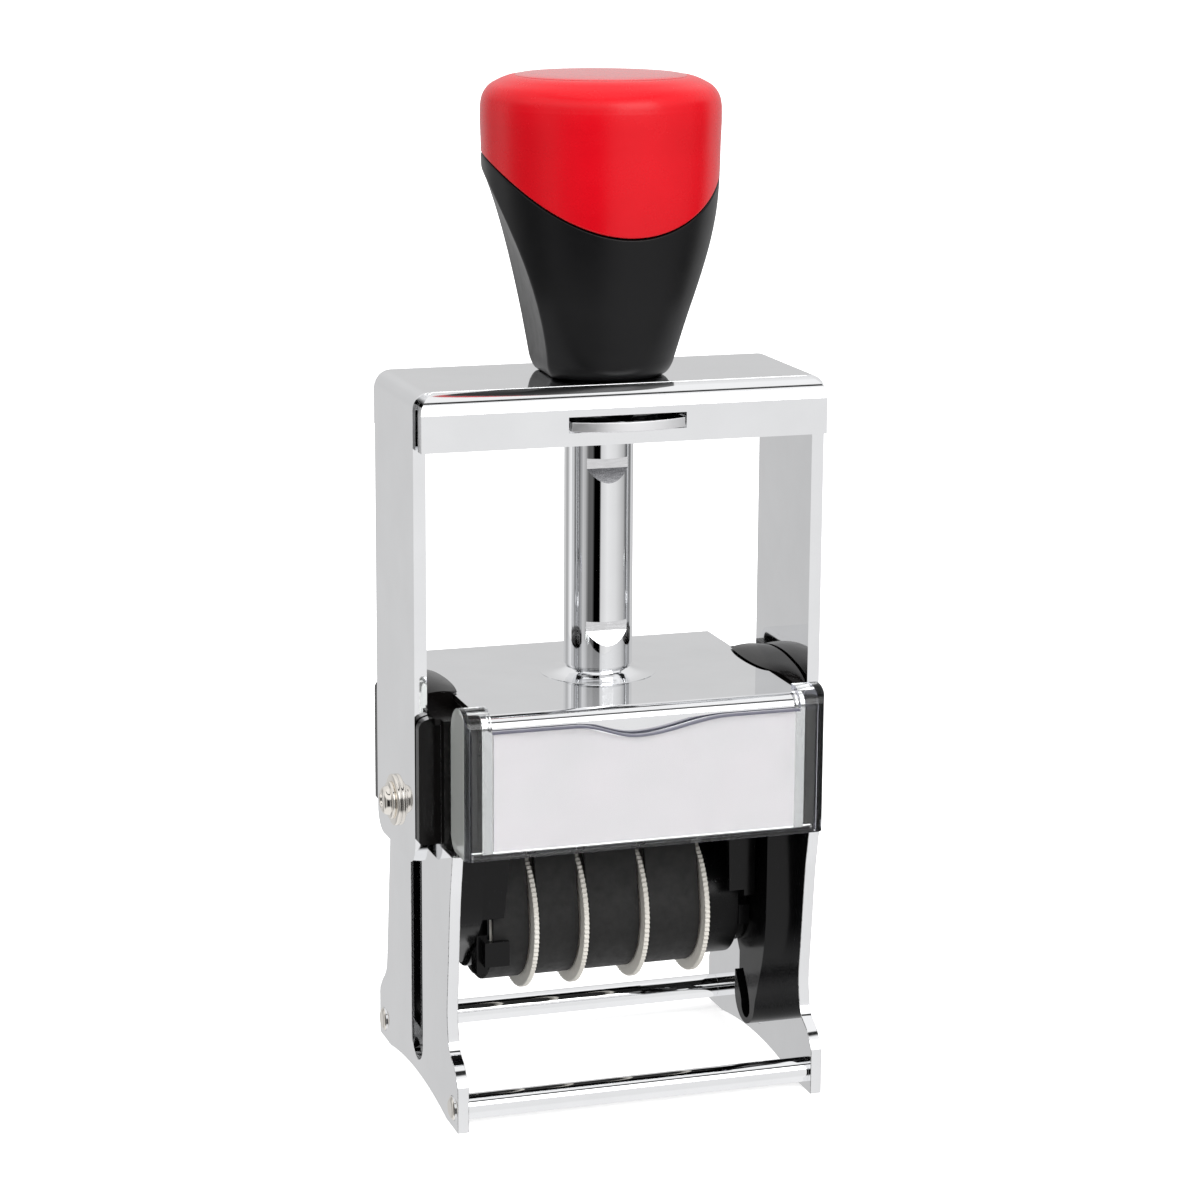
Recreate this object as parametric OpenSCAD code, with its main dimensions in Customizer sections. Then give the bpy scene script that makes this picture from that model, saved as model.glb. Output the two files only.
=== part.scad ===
// Self-inking date stamp with a metal frame.
// Frame: X to the right, Y to the rear, Z up, origin on the desk under the middle of the shaft.
// All lengths are millimetres.

/* [Leg frame] */
// Distance of the outer face of each leg plate from the middle
leg_x = 30; // [30:0.1:30.2]
// Thickness of the leg plates
leg_t = 1.8; // [1.5:0.1:1.8]
// Half depth of the feet
foot_y = 24.1; // [23.6:0.1:24.6]
// Diameter of the two cross rods
rod_d = 4; // [3.6:0.1:4.4]
// Distance of the cross rods from the middle plane
rod_y = 21.2; // [20.8:0.1:21.4]
// Height of the cross rods
rod_z = 3.2; // [3:0.1:3.4]
// Width of the guide slot in the leg plates
slot_w = 6.7; // [6.7:0.1:7.2]

/* [Housing] */
// Height of the top of the housing cover
cover_z = 65.8; // [65.8:0.1:66]
// Half width of the housing cover
cover_x = 26; // [25.8:0.1:26]
// Sheet thickness of the housing cover
cover_t = 0.9; // [0.7:0.1:0.9]
// Front face of the housing cover, in front of the middle plane
cover_front = 24; // [23.9:0.1:24.1]
// Rear face of the housing cover, behind the middle plane
cover_rear = 22.6; // [22.2:0.1:22.8]
// Front face of the label window, in front of the middle plane
window_front = 25.5; // [25.5:0.1:25.8]
// Half width of the label window
window_x = 29; // [28.9:0.1:29.1]

/* [Shaft] */
// Radius of the guide shaft
shaft_r = 5.45; // [5.4:0.05:5.5]
// Top end of the guide shaft
shaft_top = 117; // [115:0.5:117.5]
// Height of the ledge of the upper lock notch
notch_hi = 100.9; // [99:0.1:102]
// Height of the ledge of the lower lock notch
notch_lo = 74.9; // [74:0.1:76]

/* [Yoke] */
// Outer face of the yoke arms
arm_x = 33.2; // [33.2:0.1:33.5]
// Sheet thickness of the yoke
yoke_t = 2; // [1.8:0.1:2]
// Half depth of the yoke arms
arm_y = 11.65; // [11.4:0.05:11.65]
// Lower edge of the yoke arms
arm_z = 39.5; // [39:0.1:40]
// Top face of the yoke
yoke_z = 113.7; // [113.5:0.1:114]
// Outer face of the yoke flanges
flange_y = 14.4; // [14.2:0.1:14.6]
// Lower edge of the yoke flanges
flange_z = 104.8; // [104.4:0.1:105]

/* [Press motion] */
// Height of the date unit's pivot at rest
pivot_z = 47.2; // [47:0.1:47.4]
// Travel of the handle
travel = 37.5; // [37.3:0.1:37.6]
// Offset of the follower pins from the pivot
pin_off = 7.4; // [7.2:0.1:7.6]

/* [Knob] */
// Top of the knob
knob_top = 160; // [159.6:0.1:160.6]
// Largest radius of the knob
knob_r = 18.6; // [18.2:0.1:19]
// Lowest point of the red cap's front bib
bib_z = 136; // [134:0.5:138]

/* [Date unit] */
// Distance of the wheel axle below the pivot
axle_drop = 20.15; // [20:0.05:20.3]
// Radius of the setting wheels
wheel_r = 12.2; // [11.8:0.1:12.3]
// Height of the print face above the pivot
face_h = 9.55; // [9.4:0.05:9.55]
// Half width of the text plate
plate_x = 20.5; // [20:0.1:20.5]
// Half depth of the text plate
plate_y = 12; // [11.6:0.1:12]

/* [Hidden] */
$fn = 64;
e = 0.01;
leg_in = leg_x - leg_t;
arm_in = arm_x - yoke_t;
guide_in = 23.2;
frame_out = 22.8;
frame_in = 21;
seat_z = 43.6;
tab_z = 62.9;
axle_z = pivot_z - axle_drop;
cover_in = cover_z - cover_t;
spring_lo = 72;
spring_hi = 155.6;
pad_z = pivot_z + face_h + 0.35;
// [left face of the hub, left face of the disc, right face of the disc] of each setting wheel
wheel_tab = [[-20.6, -14.05, -13.25], [-12.9, -5.8, -5], [-4.65, 4.25, 5.05], [5.4, 14.4, 15.2]];

// ---------- small helpers ----------
function arc(cx, cy, r, a0, a1, n = 8) = [for (i = [0 : n]) let (a = a0 + (a1 - a0) * i / n) [cx + r * cos(a), cy + r * sin(a)]];
// Smooth open curve through the points p, k steps to each span
function curve(p, k = 4) = let (n = len(p)) concat([for (i = [0 : n - 2]) for (j = [0 : k - 1])
  let (t = j / k, a = p[max(i - 1, 0)], b = p[i], c = p[i + 1], d = p[min(i + 2, n - 1)])
  b + 0.5 * t * ((c - a) + t * ((2 * a - 5 * b + 4 * c - d) + t * (3 * (b - c) + d - a)))], [p[n - 1]]);
// Extrudes a shape drawn in (Y, Z) along X
module yz(x0, x1) translate([x0, 0, 0]) rotate([90, 0, 90]) linear_extrude(x1 - x0) children();
// Extrudes a shape drawn in (X, Z) along Y
module xz(y0, y1) translate([0, y1, 0]) rotate([90, 0, 0]) linear_extrude(y1 - y0) children();
// Cylinder along X
module xcyl(x0, x1, r, y = 0, z = 0) translate([x0, y, z]) rotate([0, 90, 0]) cylinder(r = r, h = x1 - x0);
// Box from its lowest to its highest corner
module box(a, b) translate(a) cube(b - a);
// Turned part: outline in (radius, X) turned about the X axis
module xturn(p, y = 0, z = 0) translate([0, y, z]) rotate([0, 90, 0]) rotate_extrude() polygon(p);

// ---------- leg frame ----------
module leg_outline() {
  front = curve([[-foot_y + 0.2, 7.6], [-22, 10], [-19.4, 11.7], [-18.3, 14.7], [-18, 18], [-18.4, 22], [-18.9, 26.5], [-19.4, 31.5], [-20, 36.5], [-20.8, 40.5], [-21.4, 43.5]]);
  rear = curve([[15.6, 43.5], [17.1, 31.8], [18.3, 21.5], [19, 15.6], [19.5, 13], [20.6, 11.3], [22.4, 9.7], [foot_y - 0.2, 8]]);
  polygon(concat([[-foot_y, 0], [-foot_y, 7]], front, [[-21.4, seat_z], [-15.2, seat_z], [-15.2, tab_z], [15.2, tab_z], [15.2, seat_z], [15.6, seat_z]], rear,
    [[foot_y, 7.4], [foot_y, 0], [17.6, 0]], arc(0, -94.6, 96.2, 79.6, 100.4, 10), [[-17.6, 0]]));
}
module leg_plate() difference() {
  yz(leg_in, leg_x) leg_outline();
  xcyl(leg_in - 1, leg_x + 1, slot_w / 2, 0, 3.8 + slot_w / 2);
  xcyl(leg_in - 1, leg_x + 1, slot_w / 2, 0, 50.8 - slot_w / 2);
  box([leg_in - 1, -slot_w / 2, 3.8 + slot_w / 2], [leg_x + 1, slot_w / 2, 50.8 - slot_w / 2]);
  for (s = [-1, 1]) xcyl(leg_in - 1, leg_x + 1, rod_d / 2 - 0.1, s * rod_y, rod_z);
}
module right_leg_plate() color([0.80, 0.81, 0.83]) leg_plate();
module left_leg_plate() color([0.80, 0.81, 0.83]) mirror([1, 0, 0]) leg_plate();
module cross_rod(y) {
  r = rod_d / 2;
  xturn([[0, -leg_x - 0.5], [r - 0.7, -leg_x - 0.5], [r - 0.1, -leg_x - 0.15], [r - 0.1, -leg_in], [r, -leg_in], [r, leg_in], [r - 0.1, leg_in], [r - 0.1, leg_x + 0.15], [r - 0.7, leg_x + 0.5], [0, leg_x + 0.5]], y, rod_z);
}
module front_cross_rod() color([0.82, 0.83, 0.85]) cross_rod(-rod_y);
module rear_cross_rod() color([0.82, 0.83, 0.85]) cross_rod(rod_y);

// ---------- housing ----------
module housing_cover() color([0.80, 0.81, 0.83]) difference() {
  f = -cover_front; b = cover_rear; t = cover_t; ro = 2.2; ri = ro - t;
  yz(-cover_x, cover_x) polygon(concat([[f, 44.6]], arc(f + ro, cover_z - ro, ro, 180, 90, 10), arc(b - ro, cover_z - ro, ro, 90, 0, 10), [[b, 46], [b - t, 46]],
    arc(b - ro, cover_z - ro, ri, 0, 90, 8), arc(f + ro, cover_z - ro, ri, 90, 180, 8), [[f + t, 44.6]]));
  translate([0, 0, 60]) cylinder(r = 4.6, h = 10);
  box([-23.3, b - 3, 56.5], [23.3, b + 1, 63.9]);
}

// One black cheek, drawn for the right side; the left one is turned half round
// Wing on top of the cheek: cross sections [inner x, inner y, inner z, outer y, outer z] from front to rear
wing = curve([[29.7, -12.9, 63.3, -12.9, 63.5], [28.4, -11, 64.9, -10.9, 64.9], [26.9, -9, 65.75, -8.2, 65.9], [25.5, -6.4, 66, -5.4, 66.45], [24.9, -2.6, 66.05, -2, 66.9], [24.8, 1.6, 66.1, 1.4, 67], [25, 5.2, 66.1, 5, 66.75], [25.4, 8, 66, 8.4, 66.1]], 3);
module wing_loft() {
  xo = 30.9; zb = 63.4; n = 9; m = len(wing);
  function ring(w) = let (xs = max(w[0] + 0.35, 26.05), zl = min(w[2] - 0.12, 65.86), dx = xo - w[0], dy = w[3] - w[1], dz = w[4] - w[2], ys = w[1] + dy * (xs - w[0]) / dx)
    concat([for (i = [0 : 5]) let (t = i / 5) [w[0] + dx * t, w[1] + dy * t, w[2] + dz * t + 1.35 * t * (1 - t)]],
      [[xo, w[3], zb - 0.4], [xs, ys, zb - 0.4], [xs, ys, zl]]);
  polyhedron(points = [for (w = wing) each ring(w)],
    faces = concat([[for (i = [0 : n - 1]) i]], [[for (i = [n - 1 : -1 : 0]) (m - 1) * n + i]],
      [for (k = [0 : m - 2]) for (i = [0 : n - 1]) let (j = (i + 1) % n) each [[k * n + i, (k + 1) * n + i, k * n + j], [k * n + j, (k + 1) * n + i, (k + 1) * n + j]]]));
}
module cheek() {
  difference() {
    union() {
      // channel floor and the two ribs that guide the yoke arm
      box([leg_x, -13.7, seat_z], [30.9, 13.7, tab_z]);
      for (s = [-1, 1]) translate([0, s * 12.85, 0]) xz(-0.85, 0.85) polygon(concat([[leg_x, seat_z], [32.75, seat_z], [33.1, seat_z + 0.4], [33.1, 61.8]], arc(31.5, 61.9, 1.6, 10, 80, 5), [[31.4, 63.6], [leg_x, 63.8]]));
      // saddle over the leg plate
      box([leg_in, -15.2, tab_z], [30.9, 15.2, 63.9]);
      box([26.05, -16.95, tab_z], [leg_x, 16.95, 63.9]);
      box([24.9, -15, 63.4], [26.1, 15, cover_in]);
      // blocks in front of and behind the leg plate
      for (s = [-1, 1]) yz(26.05, leg_x) polygon([[s * 15.2, seat_z], [s * 16.95, seat_z], [s * 16.95, 63.9], [s * 15.2, 63.9]]);
      // webs that close the ends of the housing
      box([26.05, -22.9, 45], [27.6, -16.9, 63.6]);
      box([26.05, 16.9, 46], [27.6, 22, 63.6]);
    }
    // way for the pivot bush
    box([leg_x - 1, -slot_w / 2, seat_z - 1], [31.5, slot_w / 2, 50.8 - slot_w / 2]);
    xcyl(leg_x - 1, 31.5, slot_w / 2, 0, 50.8 - slot_w / 2);
  }
  wing_loft();
}
module right_cheek() color([0.10, 0.09, 0.09]) {
  cheek();
  // filler in the right-hand corner of the label window
  box([26.05, -24.2, 45], [27.92, -16.9, 63.6]);
}
module left_cheek() color([0.10, 0.09, 0.09]) rotate([0, 0, 180]) cheek();

// S-shaped track of the follower pin; s = 1 for the right guide (passes below the pivot), -1 for the left one
function track(s, o) = [for (i = [-2 : 62]) let (a = i * 3, y = s * pin_off * cos(a), z = pivot_z - travel * a / 180 - s * pin_off * sin(a),
  dy = -s * pin_off * sin(a), dz = -travel / PI - s * pin_off * cos(a), l = norm([dy, dz])) [y - o * dz / l, z + o * dy / l]];
module cam_guide(s) difference() {
  f = s * -1;
  // tall plate against the leg, with the lobe that holds the low end of the track, and the lining of the leg's slot
  union() {
    box([leg_in - 1.8, -4.2, s > 0 ? 7.4 : 4.6], [leg_in, 4.2, 30]);
    yz(guide_in, leg_in) polygon(concat([for (p = arc(6.9, 11.3, 4.6, -180, -10, 16)) [f * p[0], p[1]]],
      [for (p = curve([[11.7, 11.9], [13.2, 15.5], [15, 20.5], [16, 26], [16.2, 32], [16.2, 43.3]])) [f * p[0], p[1]]],
      [[f * 14.8, 43.3], [f * 14.8, 52], [-f * 14.8, 52], [-f * 14.8, 34]], [for (p = curve([[14, 30.5], [11.5, 27.4], [8, 24.6], [4, 21.4], [0.5, 18.6]])) [-f * p[0], p[1]]], [[f * 2.3, 17]]));
  }
  // way for the pivot pin
  box([guide_in - 1, -2.35, 7.2], [leg_in + 1, 2.35, 49.5 - 2.35]);
  xcyl(guide_in - 1, leg_in + 1, 2.35, 0, 49.6 - 2.35);
  // track of the follower pin
  yz(guide_in - 1, guide_in + 2.9) polygon(concat(track(s, 1.95), [for (i = [64 : -1 : 0]) track(s, -1.95)[i]]));
  xcyl(guide_in - 1, guide_in + 2.9, 1.95, s * pin_off, pivot_z);
  xcyl(guide_in - 1, guide_in + 2.9, 1.95, -s * pin_off, pivot_z - travel);
}
module right_cam_guide() color([0.09, 0.09, 0.10]) cam_guide(1);
module left_cam_guide() color([0.09, 0.09, 0.10]) mirror([1, 0, 0]) cam_guide(-1);

module notch(z) yz(-8, 8) polygon([[-shaft_r - 2, z], [-4.3, z], [-4.3, z - 1.65], [-shaft_r - 0.1, z - 4.1], [-shaft_r - 2, z - 4.1]]);
module guide_shaft() color([0.82, 0.83, 0.85]) difference() {
  rotate_extrude() polygon([[0, 63.6], [4.6, 63.6], [4.6, cover_z], [5.05, cover_z], [5.05, 66.9], [shaft_r - 0.25, 67.05], [shaft_r, 67.4], [shaft_r, shaft_top - 0.6], [shaft_r - 0.6, shaft_top],
    [3.7, shaft_top], [3.7, spring_lo], [0, spring_lo]]);
  notch(notch_hi);
  notch(notch_lo);
}
module shaft_collar() color([0.82, 0.83, 0.85]) rotate_extrude() polygon(concat([[5.05, cover_z], [9.2, cover_z]], curve([[9.2, 65.86], [8.2, 65.94], [7.2, 66.08], [6.2, 66.34], [5.6, 66.62], [5.25, 66.86]], 3), [[5.05, 66.88]]));
module shaft_nut() color([0.70, 0.71, 0.73]) difference() {
  translate([0, 0, 63.75]) cylinder(r = 8.2, h = cover_in - 63.75, $fn = 6);
  translate([0, 0, 60]) cylinder(r = 4.6, h = 10);
}

// Upper edge of the label window, with the thumb dip in the middle
function dip(x) = 63.6 - 2.1 * pow(max(0, cos(min(abs(x + 1.5) / (x < -1.5 ? 10 : 15), 1) * 90)), 2);
// Plan of the window's outside
window_back = -17.2;
module window_plan(r = 1.2) polygon(concat([[-window_x, window_back]], arc(-window_x + r, -window_front + r, r, 180, 270, 6), arc(window_x - r, -window_front + r, r, 270, 360, 6), [[window_x, window_back]]));
module window_shell() difference() {
  f = -window_front; r = 1.2; b = window_back;
  union() {
    // shell wrapped round the front corners of the housing
    intersection() {
      linear_extrude(80) polygon(concat([[-window_x, b]], arc(-window_x + r, f + r, r, 180, 270, 6), arc(window_x - r, f + r, r, 270, 360, 6), [[window_x, b],
        [window_x - 1, b]], arc(window_x - r, f + r, r - 1, 0, -90, 4), arc(-window_x + r, f + r, r - 1, -90, -180, 4), [[-window_x + 1, b]]));
      yz(-40, 40) polygon(concat(arc(b - 2.6, 46.5, 2.6, 0, -90, 6), [[f, 43.9]], arc(f + 3.4, 63.6, 3.4, 180, 90, 8), arc(b - 4.6, 62.4, 4.6, 90, 0, 8)));
    }
    // ears that hook over the top corners of the housing
    intersection() {
      linear_extrude(80) window_plan();
      yz(-window_x, window_x) polygon(concat(arc(f + 3.4, 63.6, 3.4, 180, 90, 8), [[f + 4.4, 67], [f + 4.4, 66]], arc(f + 3.4, 63.6, 2.4, 90, 180, 8)));
    }
  }
  xz(-30, -20) polygon(concat([[-24.8, 70]], [for (x = [-24.8 : 0.8 : 24.8]) [x, dip(x)]], [[24.8, 70]]));
}
module label_window() color([0.80, 0.86, 0.88, 0.45]) {
  window_shell();
  // lip under the lower edge of the cover
  box([-27.6, -window_front + 0.8, 43.9], [27.6, -22.9, 44.6]);
}
module label_card() color([0.96, 0.96, 0.95]) xz(-cover_front - 0.25, -cover_front) polygon(concat([[-24.3, 44.9]], [for (x = [-24.3 : 0.9 : 24.3]) [x, dip(x) - 0.35]], [[24.3, 44.9]]));
module pad_rail() {
  box([22.9, -20.5, 58.6], [24.6, 20.5, cover_in]);
  box([21.75, -20.5, 59.2], [23, 20.5, 60.4]);
}
module right_pad_rail() color([0.12, 0.12, 0.12]) pad_rail();
module left_pad_rail() color([0.12, 0.12, 0.12]) mirror([1, 0, 0]) pad_rail();

// ---------- ink pad ----------
module ink_pad_tray() color([0.13, 0.13, 0.14]) difference() {
  union() {
    box([-21.4, -20, pad_z + 0.5], [21.4, 22.8, 63.3]);
    box([-22.6, -19, 60.8], [22.6, 21.4, 62]);
    // pull lip at the rear
    yz(-14, 14) polygon([[22.8, 58.2], [24.6, 57.8], [25.5, 58.6], [25.5, 62], [24.8, 62.6], [22.8, 62.6]]);
  }
  box([-20.9, -13, pad_z], [20.9, 13, pad_z + 3]);
  yz(-10, 10) polygon([[23.6, 60.3], [26, 60.9], [26, 59.6]]);
}
module ink_pad_felt() color([0.16, 0.16, 0.22]) box([-20.9, -13, pad_z], [20.9, 13, pad_z + 3]);

// ---------- handle ----------
module yoke() color([0.80, 0.81, 0.83]) difference() {
  ro = 2.6; ri = 0.6; fo = 3.3; fi = 1.3; t = yoke_t; w = arm_x; h = yoke_z; fy = flange_y; fx = 32.6; rc = 3.2;
  union() {
    // two arms and the strip of the top between them
    intersection() {
      xz(-arm_y, arm_y) polygon(concat([[-w, arm_z]], arc(-w + ro, h - ro, ro, 180, 90, 8), arc(w - ro, h - ro, ro, 90, 0, 8), [[w, arm_z], [w - t, arm_z]],
        arc(w - ro, h - ro, ri, 0, 90, 4), arc(-w + ro, h - ro, ri, 90, 180, 4), [[-w + t, arm_z]]));
      yz(-50, 50) polygon(concat(arc(-arm_y + 3.5, arm_z + 3.5, 3.5, 180, 270, 8), arc(arm_y - 3.5, arm_z + 3.5, 3.5, 270, 360, 8), [[arm_y, 130], [-arm_y, 130]]));
    }
    // top with its front and rear flanges
    intersection() {
      yz(-fx, fx) polygon(concat([[-fy, flange_z]], arc(-fy + fo, h - fo, fo, 180, 90, 12), arc(fy - fo, h - fo, fo, 90, 0, 12), [[fy, flange_z], [fy - t, flange_z]],
        arc(fy - fo, h - fo, fi, 0, 90, 6), arc(-fy + fo, h - fo, fi, 90, 180, 6), [[-fy + t, flange_z]]));
      xz(-30, 30) polygon(concat([[-fx, flange_z]], arc(-fx + rc, h - rc, rc, 180, 90, 8), arc(fx - rc, h - rc, rc, 90, 0, 8), [[fx, flange_z]]));
    }
  }
  // shaft, lock tongue, pivot rivets and knob screws
  translate([0, 0, 100]) cylinder(r = shaft_r + 0.35, h = 20);
  box([-9.45, -20, 106.85], [9.45, -10, 109.3]);
  for (s = [-1, 1]) xcyl(s * 32 - 3, s * 32 + 3, 2, 0, pivot_z);
  for (s = [-1, 1]) translate([0, s * 8.6, 100]) cylinder(r = 1.2, h = 20);
}

// Joint between the black grip and the red cap, drawn in (Y, Z); it dips to the bib in front
function seam(y) = y > 4.9 ? 147.7 : 147.7 - (147.7 - bib_z) * pow((4.9 - y) / 22.6, 2);
module above_seam(o) yz(-40, 40) polygon(concat([[-20, 200]], [for (y = [-20 : 1 : 20]) [y, seam(y) + o]], [[20, 200]]));
module knob_body() rotate_extrude($fn = 96) polygon(concat([[0, yoke_z], [10.75, yoke_z]],
  curve([[11.15, yoke_z + 0.35], [11.7, yoke_z + 2.2], [12.65, 118.8], [14.05, 123.2], [15.35, 127.3], [16.5, 131.5], [17.35, 135.5], [18.05, 140], [knob_r - 0.25, 144.5], [knob_r - 0.15, 149]]), [[knob_r, 153]],
  curve([[knob_r - 0.02, knob_top - 5], [knob_r - 0.35, knob_top - 3.4], [knob_r - 1.3, knob_top - 2], [knob_r - 2.9, knob_top - 1.05], [14.4, knob_top - 0.55], [13.5, knob_top - 0.4]]), [[0, knob_top - 0.4]]));
module knob_grip() color([0.12, 0.12, 0.13]) difference() {
  union() {
    difference() {
      knob_body();
      above_seam(0);
      // hollow of the finger grip on each side, rising to the rear as the joint does
      for (s = [-1, 1]) translate([s * (9.27 + 66.6), 0, 106.5]) rotate([117, 0, 0]) cylinder(r = 66.6, h = 90, center = true, $fn = 220);
    }
    translate([0, 0, yoke_z]) cylinder(r = 9.4, h = 152 - yoke_z);
  }
  translate([0, 0, 100]) cylinder(r = 5.95, h = 60);
  for (s = [-1, 1]) translate([0, s * 8.6, 100]) cylinder(r = 0.75, h = yoke_z + 9 - 100);
}
module knob_cap() color([0.82, 0.04, 0.09]) difference() {
  intersection() { knob_body(); above_seam(0.25); }
  translate([0, 0, 100]) cylinder(r = 9.4, h = 52);
  translate([0, 0, 100]) cylinder(r = 5.95, h = spring_hi - 100);
}
module knob_top_disc() color([0.86, 0.16, 0.18]) rotate_extrude($fn = 96) polygon([[0, knob_top - 0.4], [13.2, knob_top - 0.4], [13.2, knob_top - 0.22], [12.9, knob_top - 0.1], [8, knob_top], [0, knob_top]]);
module knob_screws() color([0.6, 0.6, 0.62]) for (s = [-1, 1]) translate([0, s * 8.6, 0]) rotate_extrude() polygon([[0, 110.6], [1.9, 110.6], [2.1, 110.9], [2.1, yoke_z - yoke_t], [1.2, yoke_z - yoke_t], [1.2, yoke_z], [0.75, yoke_z], [0.75, yoke_z + 9], [0, yoke_z + 9]]);
module shaft_bushing() color([0.14, 0.14, 0.15]) difference() {
  union() {
    translate([0, 0, 108.95]) cylinder(r = 10.8, h = yoke_z - yoke_t - 108.95);
    for (s = [-1, 1]) box([s * 12.4 - 1, -6.5, 104.9], [s * 12.4 + 1, 9, yoke_z - yoke_t]);
    box([-12.4, 5, 108.95], [12.4, 9, yoke_z - yoke_t]);
  }
  translate([0, 0, 100]) cylinder(r = shaft_r + 0.08, h = 20);
  for (s = [-1, 1]) translate([0, s * 8.6, 108]) cylinder(r = 2.6, h = 20);
}
module pivot_rivet() xturn([[0, frame_in + 0.1], [1.7, frame_in + 0.1], [2, frame_in + 0.4], [2, arm_x + 0.7], [3, arm_x + 0.7], [3, arm_x + 1.15], [2.75, arm_x + 1.3], [2.35, arm_x + 1.3], [2.25, arm_x + 1.75], [1.85, arm_x + 2.15], [1.1, arm_x + 2.4], [0, arm_x + 2.45]], 0, pivot_z);
module right_pivot_rivet() color([0.80, 0.78, 0.74]) pivot_rivet();
module left_pivot_rivet() color([0.80, 0.78, 0.74]) mirror([1, 0, 0]) pivot_rivet();
module pivot_washer() xturn([[2, arm_x], [4.1, arm_x], [4.1, arm_x + 0.5], [3.9, arm_x + 0.7], [2, arm_x + 0.7]], 0, pivot_z);
module right_pivot_washer() color([0.75, 0.74, 0.72]) pivot_washer();
module left_pivot_washer() color([0.75, 0.74, 0.72]) mirror([1, 0, 0]) pivot_washer();
module slot_bush() xturn([[2, leg_in + 0.25], [2.95, leg_in + 0.25], [3.05, leg_in + 0.35], [3.05, arm_in], [2, arm_in]], 0, pivot_z);
module right_slot_bush() color([0.85, 0.84, 0.80]) slot_bush();
module left_slot_bush() color([0.85, 0.84, 0.80]) mirror([1, 0, 0]) slot_bush();

// Coil of the return spring: one wire of radius w swept on a helix of radius r
module spring_coil() {
  r = 2.85; w = 0.42; turns = 23; k = 12; n = 8; m = turns * k; z0 = spring_lo + w; z1 = spring_hi - w - 0.1;
  // closed end turns at both ends
  function lift(i) = let (t = i / k) t < 1 ? 0.9 * t : t > turns - 1 ? (z1 - z0) - 0.9 * (turns - t) : 0.9 + (z1 - z0 - 1.8) * (t - 1) / (turns - 2);
  polyhedron(points = [for (i = [0 : m]) let (a = 360 * i / k) for (j = [0 : n - 1]) let (b = 360 * j / n) [(r + w * cos(b)) * cos(a), (r + w * cos(b)) * sin(a), z0 + lift(i) + w * sin(b)]],
    faces = concat([[for (j = [0 : n - 1]) j]], [[for (j = [n - 1 : -1 : 0]) m * n + j]],
      [for (i = [0 : m - 1]) for (j = [0 : n - 1]) let (j2 = (j + 1) % n) each [[i * n + j, (i + 1) * n + j, i * n + j2], [i * n + j2, (i + 1) * n + j, (i + 1) * n + j2]]]));
}
module return_spring() color([0.62, 0.63, 0.65]) spring_coil();
// Leaf that carries the tongue back, fixed to the bushing
module lock_spring() color([0.7, 0.7, 0.72]) {
  for (s = [-1, 1]) box([s * 10.15 - 1.25, -6.5, 107.15], [s * 10.15 + 1.25, -6.15, 108.55]);
}
module lock_tongue() color([0.82, 0.83, 0.85]) difference() {
  translate([0, 0, 107.1]) linear_extrude(1.5) polygon(concat([[11, -8.3], [11, -12.05], [9.1, -12.05]], arc(0, 3.15, 20.2, -63.3, -116.7, 12), [[-9.1, -12.05], [-11, -12.05], [-11, -8.3]]));
  translate([0, 0, 100]) cylinder(r = 9, h = 20);
}

// ---------- date unit ----------
module date_frame() color([0.10, 0.10, 0.11]) {
  z = pivot_z;
  difference() {
    union() {
      for (s = [-1, 1]) yz(s > 0 ? frame_in : -frame_out, s > 0 ? frame_out : -frame_in) polygon(concat(arc(0, axle_z, 8, 200, 340, 14), [[7, z - 9], [9.6, z - 3], [9.6, z + 3], [7.2, z + 7.2], [-7.2, z + 7.2], [-9.6, z + 3], [-9.6, z - 3], [-11.9, z - 6.5], [-11.9, 30], [-8.4, 30]]));
      box([-frame_out, -10.4, z + 5.2], [frame_out, 10.4, z + 7.2]);
      // stops at the lower corners of the side plates
      box([-frame_out, -9.6, axle_z - 6.8], [-frame_in, -6.5, axle_z - 0.4]);
      box([frame_in, -9.6, axle_z - 2.6], [frame_out, -6.5, axle_z + 0.6]);
      // flanges that fold inward in front of the wheels
      xz(-11.9, -10.65) polygon([[-frame_out, 30], [-19, 30], [-17.9, z - 6.5], [-frame_out, z - 6.5]]);
      xz(-11.9, -10.65) polygon([[frame_out, 31], [18.5, 31], [18.3, z - 6.5], [frame_out, z - 6.5]]);
      xz(-11.6, -10.65) polygon([[-22, 22], [-18, 22], [-18, 26], [-22, 26]]);
      box([-22, -11.6, 22], [-frame_in, -6.5, 26]);
      // boss that faces the first wheel's hub
      xcyl(-frame_in - e, -20.68, 9.5, 0, axle_z);
    }
    for (s = [-1, 1]) xcyl(s * 22 - 3, s * 22 + 3, 2.06, 0, z);
    for (s = [-1, 1]) xcyl(s * 22 - 3, s * 22 + 3, 1.5, 0, axle_z);
    for (s = [-1, 1]) xcyl(s * 22 - 3, s * 22 + 3, 1.2, s * pin_off, z);
    box([-20.9, -6.4, z + 4], [15.6, 6.4, z + 8]);
  }
}
module plate_holder() color([0.16, 0.16, 0.17]) difference() {
  box([-plate_x, -plate_y, pivot_z + 7.2], [plate_x, plate_y, pivot_z + 8.3]);
  box([-20.4, -4.4, pivot_z + 7], [15, 4.4, pivot_z + 9]);
}
module text_plate() color([0.55, 0.25, 0.20]) {
  z = pivot_z + 8.3;
  difference() {
    box([-plate_x, -plate_y, z], [plate_x, plate_y, z + 0.6]);
    box([-20.4, -4.4, z - 1], [15, 4.4, z + 2]);
  }
  // raised border and rows of plain bars
  for (s = [-1, 1]) {
    box([-plate_x + 0.5, s * 11 - 0.4, z + 0.6 - e], [plate_x - 0.5, s * 11 + 0.4, pivot_z + face_h]);
    for (x = [-15 : 6 : 15]) box([x - 2.2, s * 7.6 - 1, z + 0.6 - e], [x + 2.2, s * 7.6 + 1, pivot_z + face_h]);
  }
}
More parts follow.
